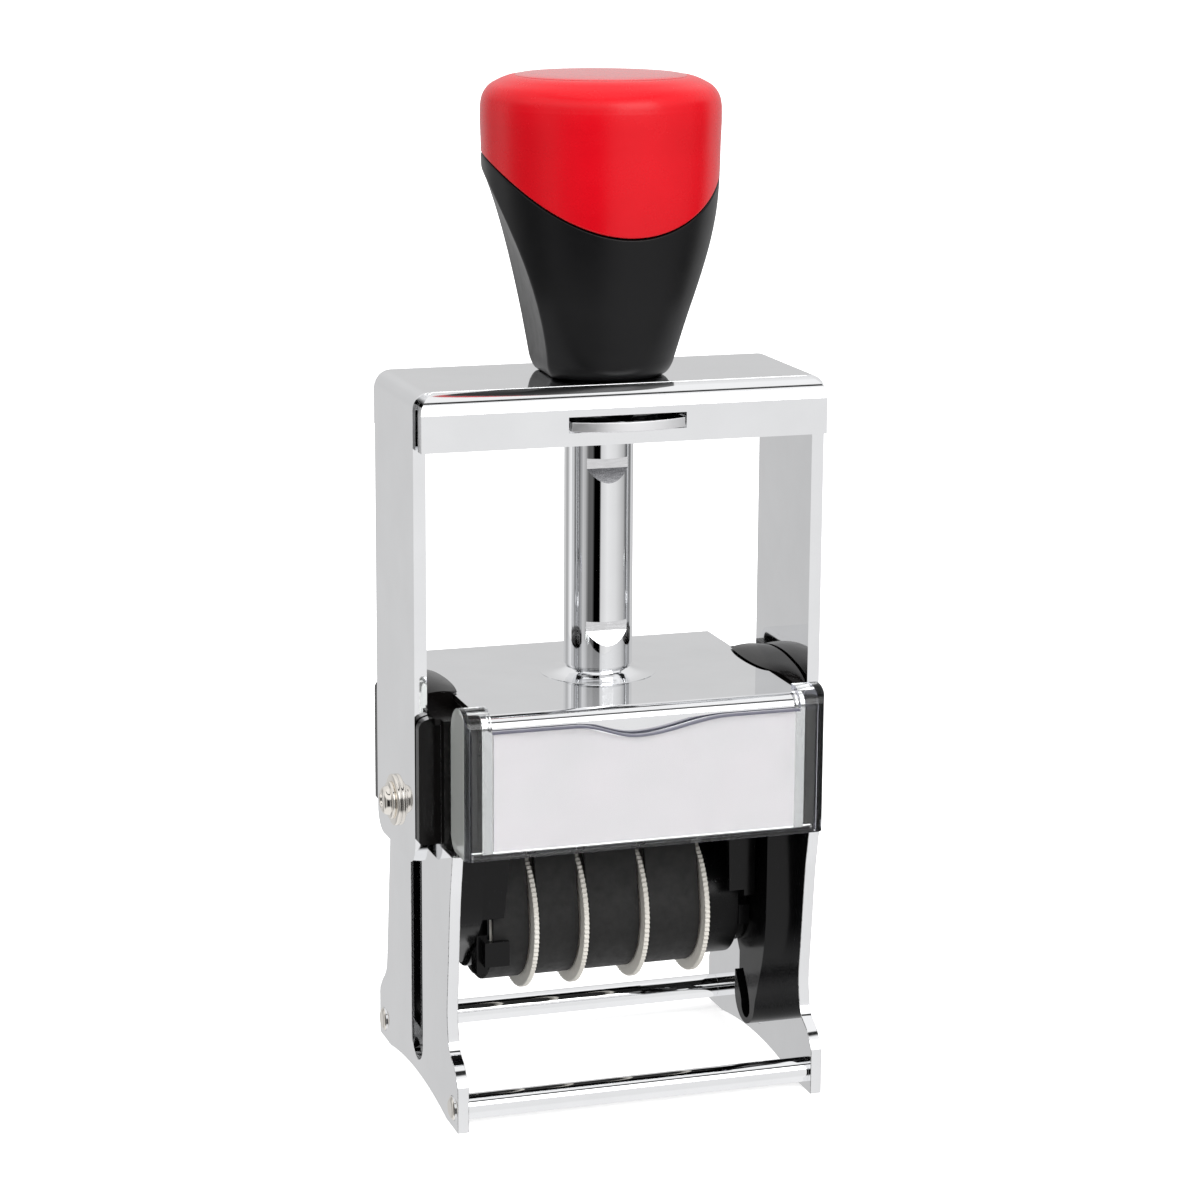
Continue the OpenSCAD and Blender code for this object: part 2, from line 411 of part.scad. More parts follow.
module band_anvil() color([0.20, 0.20, 0.21]) {
  box([-20.9, -2.3, pivot_z + 5.2], [15.6, 2.3, pivot_z + 7.2]);
  box([-20.3, -2.3, pivot_z + 7.2 - e], [14.9, 2.3, pivot_z + 8.5]);
}
module wheel_axle() color([0.75, 0.76, 0.78]) xcyl(-frame_out, frame_out, 1.5, 0, axle_z);
module wheel_spacer() color([0.11, 0.11, 0.12]) difference() {
  xcyl(15.5, frame_in, 9.6, 0, axle_z);
  xcyl(15, frame_in + 1, 1.5, 0, axle_z);
}
module follower_pin(s) {
  xcyl(frame_out, guide_in + 2.5, 1.62, s * pin_off, pivot_z);
  xcyl(frame_in, frame_out + e, 1.2, s * pin_off, pivot_z);
}
module right_follower_pin() color([0.75, 0.76, 0.78]) follower_pin(1);
module left_follower_pin() color([0.75, 0.76, 0.78]) mirror([1, 0, 0]) follower_pin(-1);
// Rubber band: a loop over the wheel hub and the anvil
module band_shape(rw, ra) hull() {
  translate([0, axle_z]) circle(r = rw, $fn = 48);
  for (s = [-1, 1]) translate([s * 2.4, pivot_z + face_h - 1.2]) circle(r = ra, $fn = 24);
}
module band(x0, x1) yz(x0, x1) difference() { band_shape(10.3, 1.2); band_shape(9.45, 0.15); }
module day_tens_band() color([0.13, 0.13, 0.13]) band(-20.3, -14.35);
module day_units_band() color([0.13, 0.13, 0.13]) band(-12.9, -6.1);
module month_band() color([0.13, 0.13, 0.13]) band(-4.65, 3.95);
module year_band() color([0.13, 0.13, 0.13]) band(5.4, 14.1);
module setting_wheel(w) difference() {
  union() {
    xcyl(w[0], w[1] + 0.2, 9.2, 0, axle_z);
    translate([0, 0, axle_z]) yz(w[1], w[2]) polygon([for (i = [0 : 191]) let (a = i * 1.875, r = wheel_r - (i % 2) * 0.3) [r * cos(a), r * sin(a)]]);
  }
  xcyl(w[0] - 1, w[2] + 1, 1.55, 0, axle_z);
}
module day_tens_wheel() color([0.90, 0.88, 0.83]) setting_wheel(wheel_tab[0]);
module day_units_wheel() color([0.90, 0.88, 0.83]) setting_wheel(wheel_tab[1]);
module month_wheel() color([0.90, 0.88, 0.83]) setting_wheel(wheel_tab[2]);
module year_wheel() color([0.90, 0.88, 0.83]) setting_wheel(wheel_tab[3]);

left_leg_plate();
right_leg_plate();
front_cross_rod();
rear_cross_rod();
housing_cover();
left_cheek();
right_cheek();
left_cam_guide();
right_cam_guide();
guide_shaft();
shaft_collar();
shaft_nut();
label_window();
label_card();
left_pad_rail();
right_pad_rail();
ink_pad_tray();
ink_pad_felt();
yoke();
knob_grip();
knob_cap();
knob_top_disc();
knob_screws();
shaft_bushing();
left_pivot_rivet();
right_pivot_rivet();
left_pivot_washer();
right_pivot_washer();
left_slot_bush();
right_slot_bush();
return_spring();
lock_spring();
lock_tongue();
date_frame();
plate_holder();
text_plate();
band_anvil();
wheel_axle();
wheel_spacer();
left_follower_pin();
right_follower_pin();
day_tens_band();
day_units_band();
month_band();
year_band();
day_tens_wheel();
day_units_wheel();
month_wheel();
year_wheel();
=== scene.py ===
import bpy
import bmesh
import math
import numpy as np
from mathutils import Vector, Matrix


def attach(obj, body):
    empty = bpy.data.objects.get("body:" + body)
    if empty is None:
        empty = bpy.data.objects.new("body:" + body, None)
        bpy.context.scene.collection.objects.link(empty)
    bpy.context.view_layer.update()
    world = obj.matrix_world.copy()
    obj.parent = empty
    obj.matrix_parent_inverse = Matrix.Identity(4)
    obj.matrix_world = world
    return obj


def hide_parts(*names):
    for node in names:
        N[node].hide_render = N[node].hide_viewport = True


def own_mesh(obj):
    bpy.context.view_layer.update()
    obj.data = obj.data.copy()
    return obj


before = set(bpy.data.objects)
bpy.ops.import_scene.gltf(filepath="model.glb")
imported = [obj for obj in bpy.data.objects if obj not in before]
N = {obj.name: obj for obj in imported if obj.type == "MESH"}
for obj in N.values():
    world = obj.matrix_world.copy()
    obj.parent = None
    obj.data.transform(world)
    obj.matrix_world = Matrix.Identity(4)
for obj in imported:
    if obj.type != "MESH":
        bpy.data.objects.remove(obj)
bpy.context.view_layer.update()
MM = 0.001
SC = bpy.context.scene
COL = SC.collection


# ------------------------------------------------------------------ camera
def make_camera():
    yaw, pitch, roll = -0.314, -0.223, 0.006
    fwd = Vector((-math.sin(yaw) * math.cos(pitch), math.cos(yaw) * math.cos(pitch), math.sin(pitch)))
    right = Vector((math.cos(yaw), math.sin(yaw), 0.0))
    up = right.cross(fwd)
    r2 = math.cos(roll) * right + math.sin(roll) * up
    u2 = -math.sin(roll) * right + math.cos(roll) * up
    cam = bpy.data.objects.new("camera", bpy.data.cameras.new("camera"))
    COL.objects.link(cam)
    m = Matrix((r2, u2, -fwd)).transposed().to_4x4()
    m.translation = Vector((-162.25, -500.649, 196.582)) * MM
    cam.matrix_world = m
    cam.data.sensor_width = 36.0
    cam.data.lens = 36.0 * 3409.284 / 1200.0
    cam.data.clip_start = 0.01
    cam.data.clip_end = 100.0
    SC.camera = cam


make_camera()


# ------------------------------------------------------------------ node helpers
class Mat:
    """A node material with a Principled surface and a few short builders."""

    def __init__(self, name):
        self.m = bpy.data.materials.new(name)
        self.m.use_nodes = True
        self.t = self.m.node_tree
        self.p = self.t.nodes["Principled BSDF"]
        self.co = self.t.nodes.new("ShaderNodeTexCoord")

    def set(self, **kw):
        for k, v in kw.items():
            self.p.inputs[k.replace("_", " ")].default_value = v
        return self

    def noise(self, scale, detail=3.0, rough=0.5, stretch=None, distortion=0.0):
        n = self.t.nodes.new("ShaderNodeTexNoise")
        n.inputs["Scale"].default_value = scale
        n.inputs["Detail"].default_value = detail
        n.inputs["Roughness"].default_value = rough
        n.inputs["Distortion"].default_value = distortion
        src = self.co.outputs["Object"]
        if stretch is not None:
            mp = self.t.nodes.new("ShaderNodeMapping")
            mp.inputs["Scale"].default_value = stretch
            self.t.links.new(src, mp.inputs["Vector"])
            src = mp.outputs["Vector"]
        self.t.links.new(src, n.inputs["Vector"])
        return n.outputs["Fac"]

    def remap(self, src, a, b, lo=0.3, hi=0.7):
        r = self.t.nodes.new("ShaderNodeMapRange")
        r.inputs["From Min"].default_value = lo
        r.inputs["From Max"].default_value = hi
        r.inputs["To Min"].default_value = a
        r.inputs["To Max"].default_value = b
        self.t.links.new(src, r.inputs["Value"])
        return r.outputs["Result"]

    def ramp(self, src, stops):
        r = self.t.nodes.new("ShaderNodeValToRGB")
        els = r.color_ramp.elements
        while len(els) < len(stops):
            els.new(0.5)
        for e, (pos, c) in zip(els, stops):
            e.position = pos
            e.color = (*c, 1.0)
        self.t.links.new(src, r.inputs["Fac"])
        return r.outputs["Color"]

    def math(self, op, a, b):
        n = self.t.nodes.new("ShaderNodeMath")
        n.operation = op
        for i, v in enumerate((a, b)):
            if isinstance(v, (int, float)):
                n.inputs[i].default_value = v
            else:
                self.t.links.new(v, n.inputs[i])
        return n.outputs[0]

    def place(self):
        """The three coordinates of a point in the part's own frame, in metres."""
        n = self.t.nodes.new("ShaderNodeSeparateXYZ")
        self.t.links.new(self.co.outputs["Object"], n.inputs[0])
        return n.outputs

    def mix(self, f, a, b):
        n = self.t.nodes.new("ShaderNodeMix")
        n.data_type = "RGBA"
        self.t.links.new(f, n.inputs["Factor"])
        for i, v in ((6, a), (7, b)):
            if isinstance(v, tuple):
                n.inputs[i].default_value = (*v, 1.0)
            else:
                self.t.links.new(v, n.inputs[i])
        return n.outputs[2]

    def link(self, src, socket):
        self.t.links.new(src, self.p.inputs[socket])
        return self

    def bump(self, *layers):
        """layers: (height source, strength, distance in mm)"""
        prev = None
        for src, strength, dist in layers:
            b = self.t.nodes.new("ShaderNodeBump")
            b.inputs["Strength"].default_value = strength
            b.inputs["Distance"].default_value = abs(dist) * MM
            b.invert = dist < 0
            self.t.links.new(src, b.inputs["Height"])
            if prev is not None:
                self.t.links.new(prev, b.inputs["Normal"])
            prev = b.outputs["Normal"]
        self.t.links.new(prev, self.p.inputs["Normal"])
        return self


def chrome(name, tint, rough=(0.03, 0.075), wave=0.03, fine=0.03, painted_shade_ends=None, lean=None):
    """Bright plating. With a (half width, front, tone) triple, the colour is darkened beyond the half width of the
    front face as painted shade.
    lean = (depth, low, high, fall): the folded flanges beyond the depth fall back a little towards their bend."""
    k = Mat(name).set(Metallic=1.0)
    n = k.noise(95.0, 4.0, 0.55)
    colour = k.ramp(n, [(0.3, tuple(c * 0.955 for c in tint)), (0.7, tint)])
    layers = [(k.noise(160.0, 2.0), wave, 0.05), (k.noise(2600.0, 2.0), fine, 0.004)]
    # painted shade: the plating colour is darkened on the front face beyond the given half width
    if painted_shade_ends:
        x, y, z = k.place()
        out = k.math("MULTIPLY", k.math("GREATER_THAN", k.math("ABSOLUTE", x, 0.0), painted_shade_ends[0] * MM), k.math("LESS_THAN", y, painted_shade_ends[1] * MM))
        colour = k.mix(out, colour, tuple(c * painted_shade_ends[2] for c in tint))
    if lean:
        x, y, z = k.place()
        out = k.math("GREATER_THAN", k.math("ABSOLUTE", y, 0.0), lean[0] * MM)
        up = k.remap(z, 0.0, 1.0, lean[1] * MM, lean[2] * MM)
        layers.insert(0, (k.math("MULTIPLY", out, k.math("POWER", up, 3.0)), 1.0, -lean[3]))
    k.link(colour, "Base Color")
    k.link(k.remap(k.noise(420.0, 5.0, 0.6), *rough), "Roughness")
    k.bump(*layers)
    return k.m


def sheared(name, tint):
    """Cut edge of plated sheet: bright, with a broken dark grain."""
    k = Mat(name).set(Metallic=1.0)
    n = k.noise(1500.0, 4.0, 0.7)
    k.link(k.ramp(n, [(0.38, tuple(c * 0.30 for c in tint)), (0.48, tuple(c * 0.85 for c in tint)), (0.60, tint)]), "Base Color")
    k.link(k.remap(n, 0.42, 0.12), "Roughness")
    k.bump((n, 0.35, 0.06))
    return k.m


def plastic(name, dark, light, rough=(0.32, 0.44), grain=(3600.0, 0.10, 0.03), coat=0.0, spec=0.5, wave=0.04):
    k = Mat(name).set(Specular_IOR_Level=spec)
    if coat:
        k.set(Coat_Weight=coat, Coat_Roughness=0.12)
    k.link(k.ramp(k.noise(70.0, 4.0, 0.6), [(0.3, dark), (0.7, light)]), "Base Color")
    k.link(k.remap(k.noise(300.0, 5.0, 0.62), *rough), "Roughness")
    k.bump((k.noise(130.0, 2.0), wave, 0.08), (k.noise(grain[0], 2.0), grain[1], grain[2]))
    return k.m


def brushed(name, tint, stretch, rough=(0.16, 0.34)):
    k = Mat(name).set(Metallic=1.0)
    n = k.noise(1.0, 5.0, 0.6, stretch=stretch)
    k.link(k.ramp(n, [(0.3, tuple(c * 0.82 for c in tint)), (0.7, tint)]), "Base Color")
    k.link(k.remap(n, *rough), "Roughness")
    k.bump((n, 0.12, 0.01))
    return k.m


M = {}
M["chrome"] = chrome("chrome_plate", (0.90, 0.905, 0.915))
M["chrome_yoke"] = chrome("chrome_yoke", (0.90, 0.905, 0.915), lean=(12.2, 105.0, 111.0, 0.42))
# the cover's front face carries painted shade beyond the half width of the label
M["chrome_cover"] = chrome("chrome_cover", (0.90, 0.905, 0.915), painted_shade_ends=(24.35, -23.8, 0.33))
M["satin"] = chrome("chrome_satin", (0.90, 0.90, 0.91), rough=(0.36, 0.46))
# painted shade: near-black plating for the inside of the folded cover, where shade falls
M["inside"] = chrome("chrome_inside_painted_shade", (0.10, 0.10, 0.105), rough=(0.42, 0.55))
M["chrome_turned"] = chrome("chrome_turned", (0.91, 0.915, 0.925), rough=(0.025, 0.06), wave=0.005, fine=0.012)
M["edge"] = sheared("chrome_cut_edge", (0.93, 0.93, 0.93))
M["machined"] = brushed("chrome_machined", (0.80, 0.80, 0.81), (600.0, 4000.0, 4000.0), rough=(0.10, 0.30))
# painted shade: a darker copy of the machined finish, standing for the dark flange reflected in the upper notch
M["machined_dark"] = brushed("chrome_machined_dark", (0.26, 0.26, 0.27), (600.0, 4000.0, 4000.0), rough=(0.16, 0.34))
M["warm"] = chrome("chrome_warm", (0.86, 0.82, 0.76), rough=(0.05, 0.12), wave=0.04)
M["steel"] = brushed("bright_steel", (0.66, 0.67, 0.69), (300.0, 300.0, 2600.0))
M["gloss"] = plastic("black_gloss", (0.0026, 0.0022, 0.0022), (0.0046, 0.0040, 0.0038), rough=(0.16, 0.24), grain=(3000.0, 0.03, 0.02), spec=0.18)
M["lobe"] = plastic("black_lobe", (0.0018, 0.0018, 0.0020), (0.0034, 0.0034, 0.0037), rough=(0.15, 0.22), grain=(3000.0, 0.03, 0.02), spec=0.24)
M["black"] = plastic("black_moulding", (0.0022, 0.0022, 0.0024), (0.0042, 0.0042, 0.0045), rough=(0.24, 0.34), grain=(3600.0, 0.06, 0.03), spec=0.15)
M["grip"] = plastic("grip_black", (0.0028, 0.0028, 0.0032), (0.0052, 0.0051, 0.0057), rough=(0.31, 0.37), grain=(4200.0, 0.015, 0.02), spec=0.24, wave=0.012)
M["red"] = plastic("cap_red", (0.64, 0.0022, 0.0088), (0.70, 0.0032, 0.0114), rough=(0.24, 0.29), grain=(4200.0, 0.012, 0.02), spec=0.26, wave=0.012)
M["disc"] = plastic("disc_red", (0.62, 0.010, 0.018), (0.67, 0.013, 0.022), rough=(0.22, 0.30), grain=(4200.0, 0.02, 0.03), coat=0.55, spec=0.42)
M["wheel"] = plastic("wheel_offwhite", (0.70, 0.67, 0.61), (0.80, 0.78, 0.72), rough=(0.42, 0.55), grain=(2600.0, 0.12, 0.03))
M["card"] = plastic("label_paper", (0.626, 0.601, 0.622), (0.656, 0.630, 0.652), rough=(0.62, 0.78), grain=(5200.0, 0.16, 0.03), spec=0.25)


def rubber_mat(name, dark, light):
    k = Mat(name).set(Specular_IOR_Level=0.35)
    k.link(k.ramp(k.noise(160.0, 5.0, 0.6), [(0.3, dark), (0.7, light)]), "Base Color")
    k.link(k.remap(k.noise(700.0, 5.0, 0.7), 0.52, 0.72), "Roughness")
    k.bump((k.noise(1500.0, 4.0, 0.65), 0.14, 0.04))
    return k.m


M["band"] = rubber_mat("band_rubber", (0.009, 0.0087, 0.0087), (0.0150, 0.0146, 0.0142))
M["plate"] = rubber_mat("plate_rubber", (0.20, 0.045, 0.034), (0.28, 0.075, 0.055))


def felt_mat():
    k = Mat("inked_felt").set(Specular_IOR_Level=0.2, Sheen_Weight=0.35, Sheen_Roughness=0.5)
    fibre = k.noise(1.0, 6.0, 0.7, stretch=(1900.0, 700.0, 1900.0), distortion=1.2)
    k.link(k.ramp(fibre, [(0.3, (0.006, 0.006, 0.014)), (0.7, (0.022, 0.022, 0.040))]), "Base Color")
    k.link(k.remap(fibre, 0.6, 0.95), "Roughness")
    k.bump((fibre, 0.6, 0.15))
    return k.m


M["felt"] = felt_mat()


def clear_mat(name, tint=(1.0, 1.0, 1.0), through=1.0):
    k = Mat(name).set(IOR=1.33, Transmission_Weight=through)
    n = k.noise(120.0, 3.0)
    k.link(k.ramp(n, [(0.3, (0.955 * tint[0], 0.97 * tint[1], 0.965 * tint[2])), (0.7, (0.985 * tint[0], 0.99 * tint[1], 0.99 * tint[2]))]), "Base Color")
    k.link(k.remap(k.noise(500.0, 4.0), 0.0, 0.008), "Roughness")
    k.bump((k.noise(60.0, 2.0), 0.008, 0.05))
    return k.m


M["clear"] = clear_mat("clear_moulding")
M["clear_rim"] = plastic("frosted_rim", (0.14, 0.14, 0.18), (0.18, 0.18, 0.22), rough=(0.30, 0.42), grain=(2600.0, 0.05, 0.02), spec=0.2)
# painted shade: a dark tint for clear walls, standing for the black moulding seen through them
M["clear_side_painted_shade"] = clear_mat("clear_side_painted_shade", (0.16, 0.16, 0.19))
M["clear_wall"] = clear_mat("clear_wall", (0.86, 0.88, 0.85), 0.55)


# ------------------------------------------------------------------ mesh helpers (millimetres in, metres out)
def arc(cx, cy, r, a0, a1, n=12):
    return [(cx + r * math.cos(math.radians(a0 + (a1 - a0) * i / n)), cy + r * math.sin(math.radians(a0 + (a1 - a0) * i / n))) for i in range(n + 1)]


def curve(p, k=8):
    p = [np.array(q, float) for q in p]
    out, n = [], len(p)
    for i in range(n - 1):
        a, b, c, d = p[max(i - 1, 0)], p[i], p[i + 1], p[min(i + 2, n - 1)]
        for j in range(k):
            t = j / k
            out.append(tuple(b + 0.5 * t * ((c - a) + t * ((2 * a - 5 * b + 4 * c - d) + t * (3 * (b - c) + d - a)))))
    out.append(tuple(p[-1]))
    return out


def tidy(loop):
    out = []
    for q in loop:
        if not out or math.dist(q, out[-1]) > 1e-4:
            out.append(q)
    if math.dist(out[0], out[-1]) < 1e-4:
        out.pop()
    return out


def make(name, verts, faces, mat=None, normals=True):
    me = bpy.data.meshes.new(name)
    me.from_pydata([tuple(float(c) * MM for c in v) for v in verts], [], faces)
    me.validate()
    if normals:
        bm = bmesh.new()
        bm.from_mesh(me)
        bmesh.ops.recalc_face_normals(bm, faces=bm.faces)
        bm.to_mesh(me)
        bm.free()
    me.polygons.foreach_set("use_smooth", [True] * len(me.polygons))
    o = bpy.data.objects.new(name, me)
    COL.objects.link(o)
    if mat is not None:
        me.materials.append(mat)
    return o


def put(axis, u, v, w):
    """A point from two plane coordinates and one along the axis."""
    return {"x": (w, u, v), "y": (u, w, v), "z": (u, v, w)}[axis]


def extrude(name, loop, axis, a, b, mat=None):
    loop = tidy(loop)
    n = len(loop)
    verts = [put(axis, u, v, a) for u, v in loop] + [put(axis, u, v, b) for u, v in loop]
    faces = [list(range(n)), list(range(2 * n - 1, n - 1, -1))] + [[i, (i + 1) % n, n + (i + 1) % n, n + i] for i in range(n)]
    return make(name, verts, faces, mat)


def lathe(name, prof, segs=96, axis="z", centre=(0, 0), mat=None, closed=False):
    """Turns an outline of (radius, height) about an axis; centre is the axis's place in the other two coordinates."""
    verts, rings = [], []
    for r, h in prof:
        if r < 1e-6:
            rings.append([len(verts)])
            verts.append(put(axis, centre[0], centre[1], h))
        else:
            rings.append(list(range(len(verts), len(verts) + segs)))
            verts += [put(axis, centre[0] + r * math.cos(2 * math.pi * i / segs), centre[1] + r * math.sin(2 * math.pi * i / segs), h) for i in range(segs)]
    faces = []
    pairs = list(zip(rings, rings[1:])) + ([(rings[-1], rings[0])] if closed else [])
    for p, q in pairs:
        for i in range(segs):
            j = (i + 1) % segs
            f = [p[i % len(p)], p[j % len(p)], q[j % len(q)], q[i % len(q)]]
            f = [x for x, y in zip(f, f[1:] + f[:1]) if x != y]
            if len(f) > 2:
                faces.append(f)
    return make(name, verts, faces, mat)


def box(name, lo, hi, mat=None):
    return extrude(name, [(lo[0], lo[1]), (hi[0], lo[1]), (hi[0], hi[1]), (lo[0], hi[1])], "z", lo[2], hi[2], mat)


def boolean(a, b, op="DIFFERENCE"):
    m = a.modifiers.new("b", "BOOLEAN")
    m.operation, m.object, m.solver = op, b, "EXACT"
    bpy.context.view_layer.update()
    me = bpy.data.meshes.new_from_object(a.evaluated_get(bpy.context.evaluated_depsgraph_get()))
    a.modifiers.clear()
    old = a.data
    a.data = me
    bpy.data.meshes.remove(old)
    gone = b.data
    bpy.data.objects.remove(b)
    bpy.data.meshes.remove(gone)
    me.polygons.foreach_set("use_smooth", [True] * len(me.polygons))
    return a


def clean(o, dist=0.002):
    bm = bmesh.new()
    bm.from_mesh(o.data)
    bmesh.ops.remove_doubles(bm, verts=bm.verts, dist=dist * MM)
    bmesh.ops.dissolve_degenerate(bm, edges=bm.edges, dist=dist * MM)
    bm.to_mesh(o.data)
    bm.free()
    o.data.polygons.foreach_set("use_smooth", [True] * len(o.data.polygons))
    return o


def soften(o, w=0.2, seg=3, ang=32, edge_mat=None, clamp=True):
    b = o.modifiers.new("edge", "BEVEL")
    b.width, b.segments, b.limit_method, b.angle_limit = w * MM, seg, "ANGLE", math.radians(ang)
    b.use_clamp_overlap = clamp
    b.miter_outer = "MITER_SHARP"
    if edge_mat is not None:
        o.data.materials.append(edge_mat)
        b.material = len(o.data.materials) - 1
    wn = o.modifiers.new("wn", "WEIGHTED_NORMAL")
    wn.weight, wn.keep_sharp = 60, False
    return o


def dress(node, mat, w=0.15, seg=2, ang=32, edge_mat=None):
    """Finish of a carried-over CAD node: welded, its flats joined, and its edges eased."""
    o = N[node]
    o.data.materials.clear()
    o.data.materials.append(mat)
    o.data.polygons.foreach_set("use_smooth", [True] * len(o.data.polygons))
    if w:
        wd = o.modifiers.new("weld", "WELD")
        wd.merge_threshold = 0.0005 * MM
        de = o.modifiers.new("flat", "DECIMATE")
        de.decimate_type, de.angle_limit = "DISSOLVE", math.radians(0.4)
        soften(o, w, seg, ang, edge_mat)
    return o


def piece(o, body, slot, *nodes):
    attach(o, body)
    if nodes:
        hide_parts(*nodes)
    return o


# ------------------------------------------------------------------ knob
YOKE_Z, KNOB_TOP, KNOB_R, BIB_Z = 113.7, 160.0, 18.6, 136.0
GRIP_PROF = [(10.75, YOKE_Z)] + curve([(11.15, YOKE_Z + 0.35), (11.7, YOKE_Z + 2.2), (12.65, 118.8), (14.05, 123.2), (15.35, 127.3), (16.5, 131.5), (17.35, 135.5), (18.05, 140), (KNOB_R - 0.25, 144.5), (KNOB_R - 0.15, 149)], 10) + [(KNOB_R, 153)]
CAP_PROF = [(KNOB_R, 130.0), (KNOB_R, 148.0)] + curve([(KNOB_R - 0.02, KNOB_TOP - 5), (KNOB_R - 0.35, KNOB_TOP - 3.4), (KNOB_R - 1.3, KNOB_TOP - 2), (KNOB_R - 2.9, KNOB_TOP - 1.05), (14.4, KNOB_TOP - 0.55), (13.5, KNOB_TOP - 0.4)], 12)


def body_r(z):
    g = [q for q in GRIP_PROF]
    return float(np.interp(z, [q[1] for q in g], [q[0] for q in g]))


def seam(y):
    return 147.7 if y > 4.9 else 147.7 - (147.7 - BIB_Z) * ((4.9 - y) / 22.6) ** 2


def smin(a, b, k):
    h = max(k - abs(a - b), 0.0) / k
    return min(a, b) - h * h * k * 0.25


TILT = math.radians(27)


def hollow_x(w):
    """Half width of the grip between its two hollows, at the height w measured along their tilt."""
    return 75.87 - math.sqrt(66.6 ** 2 - (math.cos(TILT) * (w - 106.5)) ** 2)


def grip_r(phi, z):
    """Radius of the grip, with the hollow on each side, which rises to the rear."""
    r = body_r(z)
    c, s = abs(math.cos(phi)), math.sin(phi)
    if c < 1e-3 or (r + 0.6) * c < hollow_x(z - math.tan(TILT) * (r + 0.6) * s):
        return r
    lo, hi = 5.0, r + 0.6
    for _ in range(26):
        q = 0.5 * (lo + hi)
        if q * c < hollow_x(z - math.tan(TILT) * q * s):
            lo = q
        else:
            hi = q
    return smin(r, lo, 0.28)


def seam_at(phi, rad):
    z = 146.0
    for _ in range(12):
        z = seam(rad(phi, z) * math.sin(phi))
    return z


def make_grip():
    segs, rows = 384, 160
    verts, faces, rings = [], [], []
    cols = [2 * math.pi * i / segs for i in range(segs)]
    tops = [seam_at(p, grip_r) for p in cols]
    ts = [(i / rows) for i in range(rows + 1)]

    def ring(pts):
        rings.append(list(range(len(verts), len(verts) + segs)))
        verts.extend(pts)

    # underside with a rounded foot, then the outside up to the joint, then the rolled lip
    foot_h, foot_w = 2.6, 1.35
    ring([(5.95 * math.cos(p), 5.95 * math.sin(p), YOKE_Z) for p in cols])
    for a in np.linspace(0, 84, 15):
        pts = []
        for p in cols:
            z = YOKE_Z + foot_h * (1 - math.cos(math.radians(a)))
            r = grip_r(p, z) - foot_w * (1 - math.sin(math.radians(a)))
            pts.append((r * math.cos(p), r * math.sin(p), z))
        ring(pts)
    for t in ts:
        pts = []
        for p, zt in zip(cols, tops):
            z = (YOKE_Z + foot_h) + (zt - 0.18 - YOKE_Z - foot_h) * t
            r = grip_r(p, z)
            pts.append((r * math.cos(p), r * math.sin(p), z))
        ring(pts)
    for dr, dz in ((0.05, -0.07), (0.18, -0.0), (1.2, 0.0)):
        pts = []
        for p, zt in zip(cols, tops):
            r = grip_r(p, zt - 0.18) - dr
            pts.append((r * math.cos(p), r * math.sin(p), zt + dz))
        ring(pts)
    ring([(9.4 * math.cos(p), 9.4 * math.sin(p), zt) for p, zt in zip(cols, tops)])
    ring([(9.4 * math.cos(p), 9.4 * math.sin(p), 152.0) for p in cols])
    ring([(5.95 * math.cos(p), 5.95 * math.sin(p), 152.0) for p in cols])
    for a, b in zip(rings, rings[1:] + rings[:1]):
        for i in range(segs):
            j = (i + 1) % segs
            faces.append([a[i], a[j], b[j], b[i]])
    o = make("knob_grip_body", verts, faces, M["grip"])
    o.data.set_sharp_from_angle(angle=math.radians(50))
    return o


def make_cap():
    segs, rows = 288, 60
    verts, faces, rings = [], [], []
    cols = [2 * math.pi * i / segs for i in range(segs)]
    cap_r = lambda p, z: min(body_r(z), KNOB_R)
    lows = [seam_at(p, cap_r) + 0.25 for p in cols]

    def ring(pts):
        rings.append(list(range(len(verts), len(verts) + segs)))
        verts.extend(pts)

    ring([(9.4 * math.cos(p), 9.4 * math.sin(p), zl) for p, zl in zip(cols, lows)])
    for dr, dz in ((1.2, 0.0), (0.18, 0.0), (0.05, 0.06)):
        ring([((cap_r(p, zl) - dr) * math.cos(p), (cap_r(p, zl) - dr) * math.sin(p), zl + dz) for p, zl in zip(cols, lows)])
    for k in range(rows + 1):
        pts = []
        for p, zl in zip(cols, lows):
            z = zl + 0.18 + (152.8 - zl - 0.18) * k / rows
            pts.append((cap_r(p, z) * math.cos(p), cap_r(p, z) * math.sin(p), z))
        ring(pts)
    for r, z in CAP_PROF[2:]:
        ring([(r * math.cos(p), r * math.sin(p), z) for p in cols])
    ring([(5.95 * math.cos(p), 5.95 * math.sin(p), KNOB_TOP - 0.4) for p in cols])
    ring([(5.95 * math.cos(p), 5.95 * math.sin(p), 152.0) for p in cols])
    ring([(9.4 * math.cos(p), 9.4 * math.sin(p), 152.0) for p in cols])
    for a, b in zip(rings, rings[1:] + rings[:1]):
        for i in range(segs):
            j = (i + 1) % segs
            faces.append([a[i], a[j], b[j], b[i]])
    o = make("knob_cap_shell", verts, faces, M["red"])
    o.data.set_sharp_from_angle(angle=math.radians(50))
    return o


piece(make_grip(), "handle", "black_grip", "knob_grip")
piece(make_cap(), "handle", "red_cap", "knob_cap")
top = lathe("knob_top_insert", [(0, KNOB_TOP - 0.39), (13.24, KNOB_TOP - 0.39), (13.2, KNOB_TOP - 0.36), (13.0, KNOB_TOP - 0.28), (12.5, KNOB_TOP - 0.19), (11.5, KNOB_TOP - 0.12), (10, KNOB_TOP - 0.07), (7.5, KNOB_TOP - 0.025), (4, KNOB_TOP), (0, KNOB_TOP)], 160, mat=M["disc"])
piece(top, "handle", "red_disc", "knob_top_disc")
